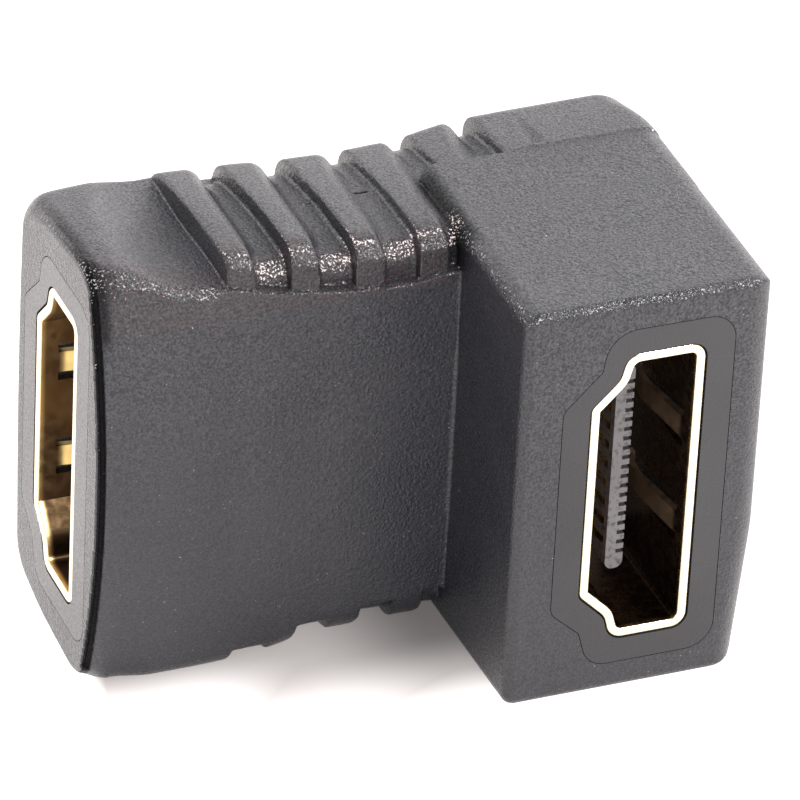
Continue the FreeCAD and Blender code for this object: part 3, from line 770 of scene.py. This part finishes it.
# painted shadow: the floor colour is darker in the corner between the arm and the block
painted_shadow_nook = f.math("MULTIPLY", f.ramp(X, -0.0045, 0.0024), f.ramp(Y, -0.0058, -0.0016))
c = f.mix(f.math("MULTIPLY", painted_shadow_nook, 0.75), c, rgba(0.03, 0.03, 0.03))
f.link(c, f.b.inputs["Base Color"])
f.b.inputs["Roughness"].default_value = 0.9
f.b.inputs["Specular IOR Level"].default_value = 0.1
# painted light: the floor glows to the left of, behind and to the right of the object, but not under it
painted_glow = f.math("MULTIPLY", f.math("MAXIMUM", f.ramp(X, -0.0132, -0.0144), f.ramp(Y, 0.0095, 0.0140)), 1.25)
painted_glow = f.math("MAXIMUM", painted_glow, f.math("MULTIPLY", f.ramp(X, 0.0136, 0.0152), 1.3))
# painted light: the floor also glows in front of the arm and in front of the block
arch = f.math("MULTIPLY", f.ramp(Y, -0.0020, -0.0075), f.ramp(X, 0.0026, -0.0045))
ahead_ = f.math("MAXIMUM", arch, f.ramp(Y, -0.0045, -0.0081))
ahead_ = f.math("MAXIMUM", ahead_, f.math("MULTIPLY", f.ramp(X, -0.0040, -0.0105), f.ramp(Y, 0.0000, -0.0042)))
painted_glow = f.math("MAXIMUM", painted_glow, f.math("MULTIPLY", ahead_, 0.90))
f.b.inputs["Emission Color"].default_value = (1.0, 0.97, 0.96, 1.0)
f.link(painted_glow, f.b.inputs["Emission Strength"])
floor.data.materials.append(f.m)

world = bpy.data.worlds.new("studio")
scene.world = world
world.use_nodes = True
wt = world.node_tree
back = wt.nodes["Background"]
way = wt.nodes.new("ShaderNodeTexCoord").outputs["Generated"]
split = wt.nodes.new("ShaderNodeSeparateXYZ")
wt.links.new(way, split.inputs[0])
# bright walls, brightest at the left, and a dark ceiling over the front


def world_ramp(v, values):
    n = wt.nodes.new("ShaderNodeMapRange")
    n.interpolation_type = "SMOOTHSTEP"
    wt.links.new(v, n.inputs[0])
    for s_, v_ in zip(list(n.inputs)[1:5], values):
        s_.default_value = v_
    return n.outputs[0]


times = wt.nodes.new("ShaderNodeMath")
times.operation = "MULTIPLY"
wt.links.new(world_ramp(split.outputs[2], (0.50, 0.74, 0.0, 0.94)), times.inputs[0])
wt.links.new(world_ramp(split.outputs[1], (-0.30, 0.15, 1.0, 0.0)), times.inputs[1])
shade = wt.nodes.new("ShaderNodeMath")
shade.operation = "SUBTRACT"
shade.inputs[0].default_value = 1.0
wt.links.new(times.outputs[0], shade.inputs[1])
more = wt.nodes.new("ShaderNodeMath")
more.operation = "MULTIPLY"
wt.links.new(shade.outputs[0], more.inputs[0])
wt.links.new(world_ramp(split.outputs[0], (-0.45, 0.25, 2.6, 1.95)), more.inputs[1])
last = wt.nodes.new("ShaderNodeMath")
last.operation = "MULTIPLY"
wt.links.new(more.outputs[0], last.inputs[0])
wt.links.new(world_ramp(split.outputs[0], (0.36, 0.80, 1.0, 1.8)), last.inputs[1])
wt.links.new(last.outputs[0], back.inputs["Strength"])
back.inputs["Color"].default_value = (1.0, 0.968, 0.972, 1.0)


def area(name, at, aim, size, power, color=(1, 1, 1)):
    li = bpy.data.lights.new(name, "AREA")
    li.shape = "RECTANGLE"
    li.size, li.size_y = size
    li.energy = power
    li.color = color
    ob = bpy.data.objects.new(name, li)
    ob.location = Vector(at)
    ob.rotation_euler = (Vector(aim) - Vector(at)).to_track_quat("-Z", "Y").to_euler()
    scene.collection.objects.link(ob)
    return ob


CENTRE = (0.0, 0.0, 0.010)
key = area("key", (0.15, -0.24, 0.36), CENTRE, (0.03, 0.03), 2.4, (1.0, 0.985, 0.98))
key.data.use_shadow = False

cam = bpy.data.cameras.new("camera")
cam.sensor_width = 36.0
cam.lens = 7095.806 / 800.0 * 36.0
cam.shift_x = -0.962 / 800.0
cam.clip_start = 0.01
cam.clip_end = 10.0
cam_ob = bpy.data.objects.new("camera", cam)
right = (0.92968414, -0.36573122, 0.04390976)
down = (-0.16055159, -0.50960646, -0.84529548)
ahead = (0.33152764, 0.77880802, -0.53249177)
cam_ob.matrix_world = Matrix(((right[0], -down[0], -ahead[0], -0.10511817),
                              (right[1], -down[1], -ahead[1], -0.24861080),
                              (right[2], -down[2], -ahead[2], 0.18189146),
                              (0, 0, 0, 1)))
scene.collection.objects.link(cam_ob)
scene.camera = cam_ob
scene.view_settings.view_transform = "Standard"
scene.view_settings.look = "None"

bpy.context.view_layer.update()
